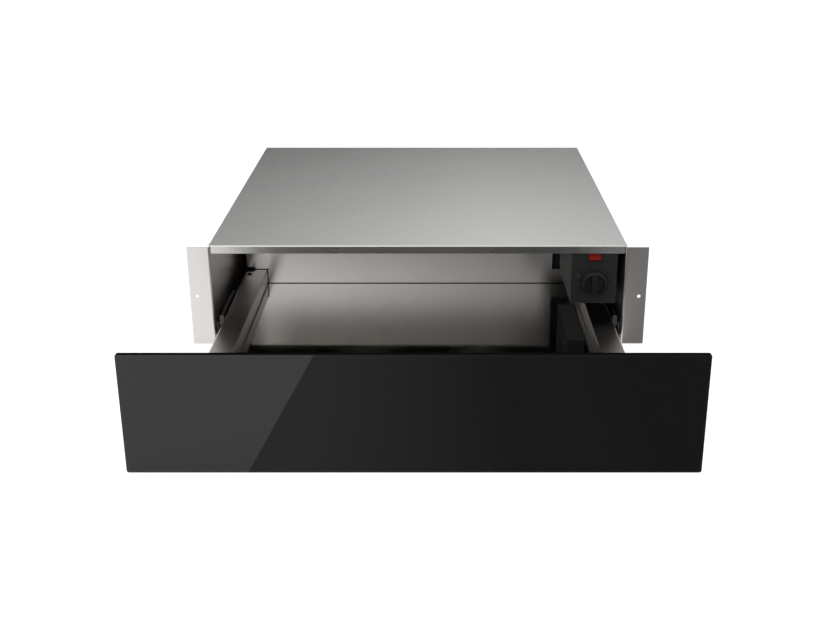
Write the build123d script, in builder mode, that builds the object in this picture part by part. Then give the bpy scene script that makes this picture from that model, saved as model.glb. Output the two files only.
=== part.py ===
"""Built-in warming drawer with a black glass front, 60 cm wide and 14 cm high, standing pulled out.

Frame: X to the right, Y to the rear, Z up, in millimetres. The origin is the centre of the
carcass underside. The drawer is drawn open_distance out of its closed place. In the sizes of
the drawer and its slides a depth is counted from the front plane of the carcass, drawer closed.
"""
import os
from math import cos, radians, sin

from build123d import *

os.makedirs("parts", exist_ok=True)

# ------------------------------------------------------------------ carcass
carcass_width = 535.0  # over the side walls
carcass_depth = 557.0
carcass_height = 134.0
wall_sheet = 1.2
base_sheet = 1.0
back_sheet = 1.0
fold_radius = 1.5  # at the middle of the sheet
flange_width = 28.0  # mounting flange outside each side wall
flange_hole_radius = 2.25
flange_hole_inset = 9.2  # from the flange's outer edge
flange_hole_height = 66.5
base_rim = 12.0
bead_width = 12.0
bead_height = 1.2
bead_length = 420.0
bead_spacing = 260.0
vent_length = 34.0
vent_width = 3.5
vent_pitch = 9.0
vent_height = 88.0
vent_spacing = 200.0

cover_sheet = 0.8
cover_clearance = 0.2
cover_setback = 4.8  # front lip behind the flanges' front plane
cover_front_lip = 10.7
cover_side_lip = 12.0
cover_lip_setback = 8.0  # side lips start behind the front lip
cover_screw_pitch = 223.0
sheet_gap = 0.3  # between folded edges that meet in a corner

screw_radius = 1.75
screw_head_radius = 3.4
screw_head_height = 2.0
screw_play = 0.1
screw_reach = 3.0  # of a cover screw's tip inside the wall

# ------------------------------------------------------------------ drawer
open_distance = 324.0  # how far the drawer stands out
drawer_width = 506.0  # over the side profiles
drawer_sheet = 1.2
side_profile_width = 30.0
side_profile_top = 36.5
side_profile_lip = 2.5
floor_top = 15.0
floor_gap = 0.4
end_gap = 1.2  # floor and side profiles to the rear wall
rear_wall_height = 100.0  # above the drawer floor
rear_wall_depth = 518.5
rear_wall_hem = 6.0
pan_bottom = 4.0
pan_sheet = 1.0
rail_notch_height = 40.4  # cut in the rear wall over the cabinet rails
rail_notch_radius = 4.3
rear_notch_length = 11.0
wall_clearance = 5.0  # rear wall to the control housing that it passes
profile_fold = 1.4
floor_fold = 0.9
side_screw_inset = 21.0
side_screw_edge = 7.0

glass_width = 595.0
glass_height = 133.0
glass_thickness = 5.0
glass_corner = 2.5
glass_bevel = 0.5
glass_underside = 0.6
glass_gap = 18.2  # glass to the front plane of the carcass, drawer closed
tape_thickness = 1.0
tape_width = 12.0
panel_sheet = 1.0
panel_width = 560.0
panel_bottom = 2.0
panel_top = 122.0
panel_corner = 6.0
panel_gap = 1.5
panel_return = 8.0
pad_radius = 3.5
pad_thickness = 1.2
pad_spacing = 72.0

# ------------------------------------------------------------------ slides
slide_width = 12.7
slide_inset = 1.0  # the slide stays this far inside the side profile
rail_height = 28.0
rail_centre = 18.5  # height of the slides' middle line
rail_sheet = 1.2
rail_fold = 1.0
rail_setback = 5.0
rail_length = 450.0
moving_rail_length = 440.0
rail_lip = 2.0
rail_hole_radius = 2.4
web_step = 3.0  # from the web of the cabinet rail to the web of the middle rail
ball_radius = 1.5
ball_play = 0.1
outer_ball_standoff = 3.1  # from the web of the middle rail
inner_ball_standoff = 4.1
outer_lip_gap = 0.3  # from the balls to the lips of the cabinet rail
inner_lip_gap = 0.7
balls_in_row = 3
ball_pitch = 36.0
cage_sheet = 0.6
cage_pocket_radius = 1.75
cage_tip = 1.4  # arms past the middles of the balls
inner_cage_step = 1.5  # from the web of the middle rail
drawer_rail_step = 0.9  # from the web of the inner cage to the drawer rail's arms
bracket_sheet = 1.5
bracket_step = 3.25  # from the wall foot to the raised channel
bracket_foot = 9.0
bracket_hat = 4.3  # between the middles of the raised channel's two webs
bracket_tab = 14.0  # height of the tab that closes the channel's front end
bracket_start = 20.0
bracket_length = 95.0
bumper_length = 6.0

# ------------------------------------------------------------------ controls
control_width = 59.6
control_side_gap = 8.3  # to the right side wall
control_bottom = 54.0
control_setback = 3.0  # behind the cover's front lip
control_length = 140.0
control_wall = 2.0
control_rear_radius = 34.0
control_edge_radius = 2.0
fascia_thickness = 2.5
knob_offset = 29.8  # from the left face of the housing
knob_height = 82.6
knob_radius = 18.0
knob_face_radius = 16.9
knob_length = 9.6
knob_float = 0.6
knob_skirt = 1.6
knob_rim = 3.2  # rounding of its front rim
knob_edge = 1.2
knob_bore_depth = 6.0
knob_grip_width = 8.0
knob_grip_depth = 3.0
pointer_length = 7.6
pointer_centre = 9.4  # above the knob's axis
spindle_radius = 3.0
spindle_play = 0.1
thermostat_size = 30.0
thermostat_depth = 24.0
thermostat_bush_radius = 5.0
thermostat_bush_length = 4.0
rocker_width = 15.5
rocker_height = 12.6
rocker_centre = 119.4  # height of its pivot
rocker_reach = 5.3  # from the pivot to the front corners
rocker_tail = 4.2  # from the pivot to the back
rocker_hollow = 1.1
rocker_tilt = 6.0
rocker_play = 0.3
pivot_setback = 4.2
pivot_radius = 1.0
pivot_play = 0.1
well_wall = 0.8
bezel_border = 1.0
bezel_thickness = 1.2
switch_depth = 14.0
blade_pitch = 7.0
blade_width = 6.3
blade_length = 8.0

# ------------------------------------------------------------------ heating
blower_width = 20.0
blower_length = 118.0
blower_height = 53.0
blower_front = 172.7  # depth of its front face, drawer closed
blower_wall = 1.6
blower_clearance = 1.0  # to the control housing that it passes
blower_edge = 1.5
slot_width = 3.0
slot_height = 20.0
slot_pitch = 8.0
slot_count = 11
fan_size = 40.0
fan_depth = 10.0
fan_bore_radius = 18.8
fan_tip_gap = 0.8
fan_hub_radius = 8.0
fan_lift = 4.0  # frame above the drawer floor
boss_thickness = 2.0
strut_root = 0.5  # of the struts in the frame
rotor_gap = 0.3
boss_gap = 0.5
blade_root = 1.0  # of the blades in the hub
intake_width = 32.0
fan_blades = 7
fan_blade_sheet = 0.9
fan_pitch = 38.0
fan_shaft_radius = 1.0
fan_shaft_play = 0.1
heater_mat_width = 360.0
heater_mat_length = 400.0
heater_mat_thickness = 2.5
insulation_margin = 24.0
fin_rows = 8
fin_gap = 2.0
fin_sheet = 0.8
cutout_radius = 8.0
cutout_height = 5.0
cutout_gap = 2.0

# ------------------------------------------------------------------ rear fittings
latch_travel = 5.0
latch_gap = 0.3
latch_height = 60.0
latch_body_radius = 8.0
latch_stem_radius = 4.0
latch_play = 0.1
latch_tip_radius = 6.5
latch_tip_thickness = 3.0
latch_tip_edge = 1.0
latch_tip_spare = 0.5  # tip to tube when pressed home
latch_end_spare = 1.0  # stem to plate when pressed home
latch_plate = 2.0
latch_plate_width = 32.0
latch_plate_height = 20.0
latch_plate_corner = 4.0
terminal_width = 52.0
terminal_height = 44.0
terminal_depth = 28.0
terminal_offset = 212.0
terminal_centre = 76.0
terminal_wall = 2.0
pole_pitch = 12.0
pole_width = 9.6
pole_length = 21.6
gland_radius = 8.0
gland_flange_radius = 11.0
gland_flange = 3.0
gland_bore_radius = 4.0
gland_centre = 32.0
gland_reach = 9.0
lead_radius = 2.5
lead_play = 0.1
lead_end = 6.0  # of the lead inside each housing
lead_drop = 9.2  # under the cover
lead_inset = 9.3  # from the right side wall
lead_rise_radius = 15.0
lead_bend_radius = 60.0
lead_rear_run = 88.0
lead_front_run = 60.0
lead_entry_run = 30.0
clip_wall = 1.2
clip_width = 8.0
clip_foot = 11.0
clip_pitch = 100.0

# ------------------------------------------------------------------ places worked out from these
front_y = -carcass_depth / 2
rear_y = carcass_depth / 2
wall_outer = carcass_width / 2
wall_inner = wall_outer - wall_sheet
wall_top = carcass_height - cover_sheet
flange_edge = wall_outer + flange_width
back_outer = rear_y - cover_sheet - cover_clearance
back_inner = back_outer - back_sheet
cover_front = front_y + cover_setback
drawer_y = front_y - open_distance
middle_travel = open_distance / 2
middle_y = front_y - middle_travel
drawer_outer = drawer_width / 2
drawer_inner = drawer_outer - side_profile_width
rail_back = drawer_outer - slide_inset
rail_root = rail_back - slide_width
rear_wall_y = drawer_y + rear_wall_depth
rear_wall_top = floor_top + rear_wall_height
panel_face_y = drawer_y - glass_gap + tape_thickness
panel_back_y = panel_face_y + panel_sheet
panel_rear_y = drawer_y - panel_gap
control_right = wall_inner - control_side_gap
control_left = control_right - control_width
control_front = cover_front + control_setback
housing_front = control_front + fascia_thickness
housing_rear = control_front + control_length
knob_x = control_left + knob_offset
pivot_y = control_front + pivot_setback
blower_right = control_left - blower_clearance
blower_left = blower_right - blower_width
blower_y = drawer_y + blower_front
fan_x = blower_right - blower_wall - fan_depth
fan_y = blower_y + blower_length / 2
fan_z = floor_top + fan_lift + fan_size / 2
closed_rear = front_y + rear_wall_depth + drawer_sheet
latch_tip_y = closed_rear + latch_gap
latch_body_y = latch_tip_y + latch_tip_thickness + latch_travel + latch_tip_spare
terminal_top = terminal_centre + terminal_height / 2
lead_x = wall_inner - lead_inset
lead_y = back_inner - terminal_depth / 2
lead_z = wall_top - lead_drop


def save(piece, name):
    """Label a finished piece and write it under its node's name."""
    piece.part.label = name
    export_step(piece.part, f"parts/{name}.step")


# ================================================================== carcass
# Top cover: one sheet with a bright front lip, a rear lip and two screwed side lips.
lip_half_width = wall_inner - sheet_gap
cover_edge = wall_outer + cover_clearance + cover_sheet / 2
cover_level = carcass_height - cover_sheet / 2
cover_fold = cover_clearance + cover_sheet / 2  # tight folds over the walls
cover_screw_z = carcass_height - cover_side_lip / 2
with BuildPart() as top_cover:
    with BuildSketch(Plane.YZ.offset(-lip_half_width)):
        with BuildLine():
            FilletPolyline(
                (cover_front + cover_sheet / 2, carcass_height - cover_front_lip),
                (cover_front + cover_sheet / 2, cover_level),
                (rear_y - cover_sheet / 2, cover_level),
                (rear_y - cover_sheet / 2, carcass_height - cover_side_lip),
                radius=(fold_radius, cover_fold),
            )
        trace(line_width=cover_sheet)
    extrude(amount=2 * lip_half_width)
    with BuildSketch(Plane.XZ.offset(-cover_front - cover_lip_setback)):
        with BuildLine():
            FilletPolyline(
                (-cover_edge, carcass_height - cover_side_lip),
                (-cover_edge, cover_level),
                (cover_edge, cover_level),
                (cover_edge, carcass_height - cover_side_lip),
                radius=cover_fold,
            )
        trace(line_width=cover_sheet)
    extrude(amount=cover_front + cover_lip_setback - rear_y)
    with BuildSketch(Plane.XY.offset(wall_top)):
        with Locations((0, cover_front + fold_radius)):
            Rectangle(2 * cover_edge + cover_sheet, cover_lip_setback, align=(Align.CENTER, Align.MIN))
    extrude(amount=cover_sheet)
    with BuildSketch(Plane.YZ):
        with Locations((0, cover_screw_z)):
            with GridLocations(cover_screw_pitch, 0, 3, 1):
                Circle(screw_radius)
    extrude(amount=cover_edge + cover_sheet, both=True, mode=Mode.SUBTRACT)
save(top_cover, "top_cover")


def build_side_panel(side):
    """Side wall with its outward mounting flange; side is 1 on the right and -1 on the left."""
    wall_middle = side * (wall_outer - wall_sheet / 2)
    flange_middle = front_y + wall_sheet / 2
    with BuildPart() as panel:
        with BuildSketch():
            with BuildLine():
                FilletPolyline(
                    (wall_middle, back_outer),
                    (wall_middle, flange_middle),
                    (side * flange_edge, flange_middle),
                    radius=fold_radius,
                )
            trace(line_width=wall_sheet)
        extrude(amount=wall_top)
        with BuildSketch(Plane.XZ.offset(-flange_middle)):
            with Locations((side * (flange_edge - flange_hole_inset), flange_hole_height)):
                Circle(flange_hole_radius)
        extrude(amount=wall_sheet, both=True, mode=Mode.SUBTRACT)
        with BuildSketch(Plane.YZ.offset(wall_middle)):
            with Locations((0, cover_screw_z)):
                with GridLocations(cover_screw_pitch, 0, 3, 1):
                    Circle(screw_radius)
            with Locations((rear_y - 2 * vent_length, vent_height)):
                with GridLocations(0, vent_pitch, 1, 5):
                    SlotOverall(vent_length, vent_width)
        extrude(amount=wall_sheet, both=True, mode=Mode.SUBTRACT)
    return panel


# Base plate: a tray with side rims and two pressed beads that stiffen it.
base_front = front_y + wall_sheet + fold_radius
base_edge = wall_inner - base_sheet / 2
rim_rear = back_inner - cover_side_lip - sheet_gap
with BuildPart() as base_plate:
    with BuildSketch(Plane.XZ.offset(-rim_rear)):
        with BuildLine():
            FilletPolyline(
                (-base_edge, base_rim),
                (-base_edge, base_sheet / 2),
                (base_edge, base_sheet / 2),
                (base_edge, base_rim),
                radius=fold_radius,
            )
        trace(line_width=base_sheet)
    extrude(amount=rim_rear - base_front)
    with BuildSketch(Plane.XY):
        with Locations((0, rim_rear)):
            Rectangle(2 * (wall_inner - fold_radius), back_inner - rim_rear, align=(Align.CENTER, Align.MIN))
    extrude(amount=base_sheet)
    with BuildSketch(Plane.XY.offset(base_sheet)):
        with GridLocations(bead_spacing, 0, 2, 1):
            SlotOverall(bead_length, bead_width, rotation=90)
    extrude(amount=bead_height)
    with BuildSketch(Plane.XY):
        with GridLocations(bead_spacing, 0, 2, 1):
            SlotOverall(bead_length - 2 * base_sheet, bead_width - 2 * base_sheet, rotation=90)
    extrude(amount=bead_height, mode=Mode.SUBTRACT)
save(base_plate, "base_plate")

# Back panel: two side flanges folded forward, two banks of vent slots and the cable entry.
with BuildPart() as back_panel:
    with BuildSketch(Plane.XY.offset(base_sheet)):
        with BuildLine():
            FilletPolyline(
                (-wall_inner + back_sheet / 2, back_inner - cover_side_lip),
                (-wall_inner + back_sheet / 2, back_inner + back_sheet / 2),
                (wall_inner - back_sheet / 2, back_inner + back_sheet / 2),
                (wall_inner - back_sheet / 2, back_inner - cover_side_lip),
                radius=fold_radius,
            )
        trace(line_width=back_sheet)
    extrude(amount=wall_top - base_sheet)
    with BuildSketch(Plane.XZ.offset(-back_inner)):
        with Locations((0, vent_height)):
            with GridLocations(vent_spacing, vent_pitch, 2, 4):
                SlotOverall(2 * vent_length, vent_width)
        with Locations((terminal_offset, gland_centre)):
            Circle(gland_radius)
    extrude(amount=2 * back_sheet, both=True, mode=Mode.SUBTRACT)
save(back_panel, "back_panel")


def build_screw(plane, length):
    """Screw: the head's underside lies in the plane, the shank goes down from it."""
    with BuildPart(plane) as screw:
        Cylinder(screw_head_radius, screw_head_height, align=(Align.CENTER, Align.CENTER, Align.MIN))
        Cylinder(screw_radius - screw_play, length, align=(Align.CENTER, Align.CENTER, Align.MAX))
    return screw.part


# Cover screws: three through each side lip into the side wall.
with BuildPart() as cover_screws:
    for side in (-1, 1):
        for screw_y in (-cover_screw_pitch, 0, cover_screw_pitch):
            seat = Plane((side * (cover_edge + cover_sheet / 2), screw_y, cover_screw_z), z_dir=(side, 0, 0))
            add(build_screw(seat, cover_sheet + cover_clearance + wall_sheet + screw_reach))
save(cover_screws, "cover_screws")


# ================================================================== slides
# Each slide is three channels one inside the other. Reach is counted outward from the drawer
# pan, rise from the slide's middle line; both races of a pair leave ball_play over and under
# the balls.
cabinet_rise = rail_height / 2 - rail_sheet / 2
ball_seat = 2 * (ball_radius + ball_play) + rail_sheet
middle_rise = cabinet_rise - ball_seat
drawer_rise = middle_rise - ball_seat
outer_ball_rise = (cabinet_rise + middle_rise) / 2
inner_ball_rise = (middle_rise + drawer_rise) / 2
cabinet_web = slide_width - rail_sheet / 2
middle_web = cabinet_web - web_step
outer_cage_web = (cabinet_web + middle_web) / 2
inner_cage_web = middle_web - inner_cage_step
outer_ball_reach = middle_web - outer_ball_standoff
inner_ball_reach = middle_web - inner_ball_standoff
cabinet_lip = outer_ball_reach - ball_radius - rail_sheet / 2 - outer_lip_gap
middle_lip = inner_ball_reach - ball_radius - rail_sheet / 2 - inner_lip_gap
cage_length = balls_in_row * ball_pitch
cage_home = front_y + rail_setback + (moving_rail_length - cage_length) / 2  # drawer closed


def slide_points(side, reach_and_rise):
    """Turn reach and rise into X and Z on one side of the drawer."""
    return [(side * (rail_root + reach), rail_centre + rise) for reach, rise in reach_and_rise]


def channel(lip_reach, web_reach, rise, lip):
    """Middle line of a C channel from its lower lip round the web to its upper lip."""
    return [
        (lip_reach, lip - rise),
        (lip_reach, -rise),
        (web_reach, -rise),
        (web_reach, rise),
        (lip_reach, rise),
        (lip_reach, rise - lip),
    ]


def build_rail(side, line, start_y, length, web_reach, hole_count):
    """Rolled channel from start_y to the rear, with round fixing holes along its web."""
    with BuildPart() as rail:
        with BuildSketch(Plane.XZ.offset(-start_y)):
            with BuildLine():
                FilletPolyline(*slide_points(side, line), radius=rail_fold)
            trace(line_width=rail_sheet)
        extrude(amount=-length)
        with BuildSketch(Plane.YZ.offset(side * (rail_root + web_reach))):
            with Locations((start_y + length / 2, rail_centre)):
                with GridLocations(length / (hole_count + 0.5), 0, hole_count, 1):
                    Circle(rail_hole_radius)
        extrude(amount=rail_sheet, both=True, mode=Mode.SUBTRACT)
    return rail


def build_cage(side, ball_reach, web_reach, rise, start_y):
    """Ball retainer: a thin channel whose two arms are pierced for the balls."""
    tip_reach = ball_reach - cage_tip
    line = [(tip_reach, -rise), (web_reach, -rise), (web_reach, rise), (tip_reach, rise)]
    with BuildPart() as cage:
        with BuildSketch(Plane.XZ.offset(-start_y)):
            with BuildLine():
                FilletPolyline(*slide_points(side, line), radius=cage_sheet)
            trace(line_width=cage_sheet)
        extrude(amount=-cage_length)
        with BuildSketch(Plane.XY.offset(rail_centre)):
            with Locations((side * (rail_root + ball_reach), start_y + cage_length / 2)):
                with GridLocations(0, ball_pitch, 1, balls_in_row):
                    Circle(cage_pocket_radius)
        extrude(amount=rail_height / 2, both=True, mode=Mode.SUBTRACT)
    return cage


def build_balls(side, ball_reach, rise, start_y):
    """Two rows of balls, one above and one below the slide's middle line."""
    ball_x = side * (rail_root + ball_reach)
    with BuildPart() as balls:
        for row_z in (rail_centre - rise, rail_centre + rise):
            for index in range(balls_in_row):
                with Locations((ball_x, start_y + (index + 0.5) * ball_pitch, row_z)):
                    Sphere(ball_radius)
    return balls


def build_bracket(side, start_y):
    """Folded bracket: a foot on the side wall, a raised channel and a plate for the cabinet rail."""
    foot = wall_inner - bracket_sheet / 2
    outer = foot - bracket_step
    crown = rail_centre + rail_height / 2 - bracket_sheet / 2
    plate = rail_back + bracket_sheet / 2
    outline = [
        (foot, base_rim + 1),
        (foot, base_rim + 1 + bracket_foot),
        (outer, base_rim + 1 + bracket_foot),
        (outer, crown),
        (outer - bracket_hat, crown),
        (outer - bracket_hat, rail_centre),
        (plate, rail_centre),
        (plate, rail_centre - rail_height / 3),
    ]
    with BuildPart() as bracket:
        with BuildSketch(Plane.XZ.offset(-start_y)):
            with BuildLine():
                FilletPolyline(*[(side * x, z) for x, z in outline], radius=fold_radius)
            trace(line_width=bracket_sheet)
        extrude(amount=-bracket_length)
        with BuildSketch(Plane.XZ.offset(-start_y)):
            with Locations((side * (outer - bracket_hat / 2), crown + bracket_sheet / 2)):
                Rectangle(bracket_hat + bracket_sheet, bracket_tab, align=(Align.CENTER, Align.MAX))
        extrude(amount=bracket_sheet)
        tab_top = bracket.edges().group_by(Axis.Y)[0].sort_by(Axis.Z)[-1]
        fillet(tab_top, radius=bracket_sheet * 0.9)
    return bracket.part


def build_brackets(side):
    """The front and the rear bracket of one slide."""
    rear_bracket_y = front_y + rail_setback + rail_length - bracket_length
    with BuildPart() as brackets:
        for start_y in (front_y + bracket_start, rear_bracket_y):
            add(build_bracket(side, start_y))
    return brackets


def build_bumper(side):
    """Rubber stop in the rear end of the cabinet rail."""
    stop_y = front_y + rail_setback + rail_length - bumper_length
    mouth = cabinet_lip + rail_sheet / 2
    depth = cabinet_web - rail_sheet / 2 - mouth
    with BuildPart() as bumper:
        with BuildSketch(Plane.XZ.offset(-stop_y)):
            with Locations((side * (rail_root + mouth + depth / 2), rail_centre)):
                RectangleRounded(depth, 2 * cabinet_rise - rail_sheet, rail_fold)
        extrude(amount=-bumper_length)
    return bumper


cabinet_line = channel(cabinet_lip, cabinet_web, cabinet_rise, rail_lip)
middle_line = channel(middle_lip, middle_web, middle_rise, rail_lip)
drawer_line = channel(inner_cage_web - drawer_rail_step, rail_sheet / 2, drawer_rise, 0)[1:5]
outer_cage_y = cage_home - middle_travel / 2
inner_cage_y = cage_home - (middle_travel + open_distance) / 2

for side, hand in ((1, "right"), (-1, "left")):
    save(build_side_panel(side), f"side_panel_{hand}")
    save(build_brackets(side), f"rail_brackets_{hand}")
    cabinet_y = front_y + rail_setback
    save(build_rail(side, cabinet_line, cabinet_y, rail_length, cabinet_web, 3), f"cabinet_rail_{hand}")
    middle_start = middle_y + rail_setback
    save(build_rail(side, middle_line, middle_start, moving_rail_length, middle_web, 2), f"middle_rail_{hand}")
    drawer_start = drawer_y + rail_setback
    save(build_rail(side, drawer_line, drawer_start, moving_rail_length, rail_sheet / 2, 3), f"drawer_rail_{hand}")
    save(build_cage(side, outer_ball_reach, outer_cage_web, outer_ball_rise, outer_cage_y), f"outer_cage_{hand}")
    save(build_cage(side, inner_ball_reach, inner_cage_web, inner_ball_rise, inner_cage_y), f"inner_cage_{hand}")
    save(build_balls(side, outer_ball_reach, outer_ball_rise, outer_cage_y), f"outer_balls_{hand}")
    save(build_balls(side, inner_ball_reach, inner_ball_rise, inner_cage_y), f"inner_balls_{hand}")
    save(build_bumper(side), f"rail_bumper_{hand}")


# ================================================================== controls
# Control housing: a moulded box hung under the cover, open in front, rounded at the rear.
def housing_profile(inset, front):
    """Side outline of the housing, drawn in by a wall thickness."""
    low = control_bottom + inset
    high = wall_top - inset
    rear = housing_rear - inset
    with BuildSketch(Plane.YZ.offset(control_left + inset)) as outline:
        with Locations(((front + rear) / 2, (low + high) / 2)):
            Rectangle(rear - front, high - low)
        low_rear_corner = outline.vertices().sort_by(Axis.X)[-2:].sort_by(Axis.Y)[0]
        fillet(low_rear_corner, radius=control_rear_radius - inset)
    return outline.sketch


with BuildPart() as control_housing:
    extrude(housing_profile(0, housing_front), amount=control_width)
    long_edges = control_housing.edges().filter_by(Axis.Y).group_by(Axis.Z)[0]
    fillet(long_edges, radius=control_edge_radius)
    extrude(
        housing_profile(control_wall, housing_front),
        amount=control_width - 2 * control_wall,
        mode=Mode.SUBTRACT,
    )
    with BuildSketch(Plane.XZ.offset(-housing_rear)):
        with Locations((knob_x, lead_z)):
            Circle(lead_radius + lead_play)
    extrude(amount=control_wall, mode=Mode.SUBTRACT)
save(control_housing, "control_housing")

# Fascia: the front plate of the housing with holes for the spindle and the switch.
rocker_swing = rocker_reach * sin(radians(rocker_tilt))
well_width = rocker_width + 2 * rocker_play
well_height = rocker_height + 2 * (rocker_swing + rocker_play)
opening_width = well_width + 2 * well_wall
opening_height = well_height + 2 * well_wall
with BuildPart() as control_fascia:
    with BuildSketch(Plane.XZ.offset(-housing_front)):
        with Locations((control_left + control_width / 2, (control_bottom + wall_top) / 2)):
            Rectangle(control_width, wall_top - control_bottom)
        with Locations((knob_x, knob_height)):
            Circle(thermostat_bush_radius, mode=Mode.SUBTRACT)
        with Locations((knob_x, rocker_centre)):
            Rectangle(opening_width, opening_height, mode=Mode.SUBTRACT)
    extrude(amount=fascia_thickness)
    front_rim = control_fascia.faces().sort_by(Axis.Y)[0].outer_wire().edges()
    fillet(front_rim.sort_by(Axis.Z)[:-1], radius=fascia_thickness / 3)
save(control_fascia, "control_fascia")

# Switch body: a bezel on the fascia, a well through it with a closed back, and three blades.
with BuildPart() as switch_body:
    with BuildSketch(Plane.XZ.offset(-control_front)):
        with Locations((knob_x, rocker_centre)):
            Rectangle(opening_width + 2 * bezel_border, opening_height + 2 * bezel_border)
            Rectangle(well_width, well_height, mode=Mode.SUBTRACT)
    extrude(amount=bezel_thickness)
    fillet(switch_body.faces().sort_by(Axis.Y)[0].outer_wire().edges(), radius=bezel_thickness / 2)
    with BuildSketch(Plane.XZ.offset(-control_front)):
        with Locations((knob_x, rocker_centre)):
            Rectangle(opening_width, opening_height)
    extrude(amount=-switch_depth)
    with BuildSketch(Plane.XZ.offset(-control_front + bezel_thickness)):
        with Locations((knob_x, rocker_centre)):
            Rectangle(well_width, well_height)
    extrude(amount=well_wall - switch_depth - bezel_thickness, mode=Mode.SUBTRACT)
    with BuildSketch(Plane.XZ.offset(-control_front - switch_depth)):
        with Locations((knob_x, rocker_centre)):
            with GridLocations(blade_pitch, 0, 3, 1):
                Rectangle(well_wall, blade_width)
    extrude(amount=-blade_length)
    with BuildSketch(Plane.YZ.offset(knob_x)):
        with Locations((pivot_y, rocker_centre)):
            Circle(pivot_radius + pivot_play)
    extrude(amount=opening_width / 2 - sheet_gap, both=True, mode=Mode.SUBTRACT)
save(switch_body, "switch_body")

# Rocker: a hollowed face on two stub pins, drawn tipped to its off place.
rocker_half = rocker_height / 2
rocker_plane = Plane(
    (knob_x, pivot_y, rocker_centre),
    x_dir=(0, cos(radians(rocker_tilt)), -sin(radians(rocker_tilt))),
    z_dir=(1, 0, 0),
)
with BuildPart() as rocker_button:
    with BuildSketch(rocker_plane):
        with BuildLine():
            ThreePointArc(
                (-rocker_reach, -rocker_half),
                (-rocker_reach + rocker_hollow, 0),
                (-rocker_reach, rocker_half),
            )
            Polyline(
                (-rocker_reach, rocker_half),
                (rocker_tail / 2, rocker_half),
                (rocker_tail, rocker_half / 2),
                (rocker_tail, -rocker_half / 2),
                (rocker_tail / 2, -rocker_half),
                (-rocker_reach, -rocker_half),
            )
        make_face()
    extrude(amount=rocker_width / 2, both=True)
    with BuildSketch(rocker_plane):
        Circle(pivot_radius)
    extrude(amount=(well_width + well_wall) / 2, both=True)
save(rocker_button, "rocker_button")

# Thermostat: a boxed switch hung behind the fascia by the threaded bush round its spindle.
thermostat_front = housing_front + thermostat_bush_length
with BuildPart() as thermostat:
    with BuildSketch(Plane.XZ.offset(-thermostat_front)):
        with Locations((knob_x, knob_height)):
            RectangleRounded(thermostat_size, thermostat_size, thermostat_size / 10)
    extrude(amount=-thermostat_depth)
    with BuildSketch(Plane.XZ.offset(-thermostat_front)):
        with Locations((knob_x, knob_height)):
            Circle(thermostat_bush_radius)
    extrude(amount=thermostat_bush_length + fascia_thickness / 2)
    with BuildSketch(Plane.XZ.offset(-thermostat_front - thermostat_depth / 2)):
        with Locations((knob_x, knob_height)):
            Circle(spindle_radius + spindle_play)
    extrude(amount=thermostat_depth + thermostat_bush_length, mode=Mode.SUBTRACT)
save(thermostat, "thermostat")

with BuildPart() as thermostat_spindle:
    with BuildSketch(Plane.XZ.offset(-thermostat_front - thermostat_depth / 2 + sheet_gap)):
        with Locations((knob_x, knob_height)):
            Circle(spindle_radius)
    spindle_tip = control_front - knob_float - knob_bore_depth
    extrude(amount=thermostat_front + thermostat_depth / 2 - sheet_gap - spindle_tip)
save(thermostat_spindle, "thermostat_spindle")

# Knob: a turned body with a skirt, two finger hollows that leave a grip bar, and a pointer cut.
knob_plane = Plane((knob_x, control_front - knob_float, knob_height), x_dir=(1, 0, 0), z_dir=(0, 0, -1))
knob_face = Plane.XZ.offset(-control_front + knob_float + knob_length)
with BuildPart() as control_knob:
    with BuildSketch(knob_plane):
        with BuildLine():
            Polyline(
                (spindle_radius, 0),
                (knob_radius, 0),
                (knob_radius, knob_skirt),
                (knob_face_radius + knob_edge / 2, knob_skirt + knob_edge / 2),
                (knob_face_radius, knob_length - knob_rim),
            )
            rim = RadiusArc(
                (knob_face_radius, knob_length - knob_rim),
                (knob_face_radius - knob_rim, knob_length),
                -knob_rim,
            )
            Polyline(
                rim @ 1,
                (0, knob_length),
                (0, knob_bore_depth),
                (spindle_radius, knob_bore_depth),
                (spindle_radius, 0),
            )
        make_face()
    revolve(axis=Axis((knob_x, 0, knob_height), (0, 1, 0)))
    with BuildSketch(knob_face):
        with Locations((knob_x, knob_height)):
            Circle(knob_face_radius - knob_rim - knob_edge / 2)
            Rectangle(knob_grip_width, 2 * knob_radius, mode=Mode.SUBTRACT)
    extrude(amount=-knob_grip_depth, mode=Mode.SUBTRACT)
    with BuildSketch(knob_face):
        with Locations((knob_x, knob_height + pointer_centre)):
            Rectangle(knob_edge, pointer_length)
    extrude(amount=-knob_edge / 2, mode=Mode.SUBTRACT)
save(control_knob, "control_knob")


# ================================================================== drawer
# Front panel: a pressed pan behind the glass, with returns at the sides and the top.
panel_height = panel_top - panel_bottom
panel_centre = (panel_top + panel_bottom) / 2
with BuildPart() as front_panel:
    with BuildSketch(Plane.XZ.offset(-panel_rear_y)):
        with Locations((0, panel_centre)):
            RectangleRounded(panel_width, panel_height, panel_corner)
    extrude(amount=panel_rear_y - panel_face_y)
    with BuildSketch(Plane.XZ.offset(-panel_back_y)):
        with Locations((0, panel_centre)):
            RectangleRounded(
                panel_width - 2 * panel_sheet,
                panel_height - 2 * panel_sheet,
                panel_corner - panel_sheet,
            )
    extrude(amount=panel_back_y + panel_sheet - panel_rear_y, mode=Mode.SUBTRACT)
    with BuildSketch(Plane.XZ.offset(-panel_rear_y)):
        with Locations((0, panel_bottom + panel_sheet)):
            Rectangle(
                panel_width - 2 * panel_return,
                panel_height - panel_sheet - panel_return,
                align=(Align.CENTER, Align.MIN),
            )
    extrude(amount=panel_sheet, mode=Mode.SUBTRACT)
save(front_panel, "front_panel")

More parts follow.
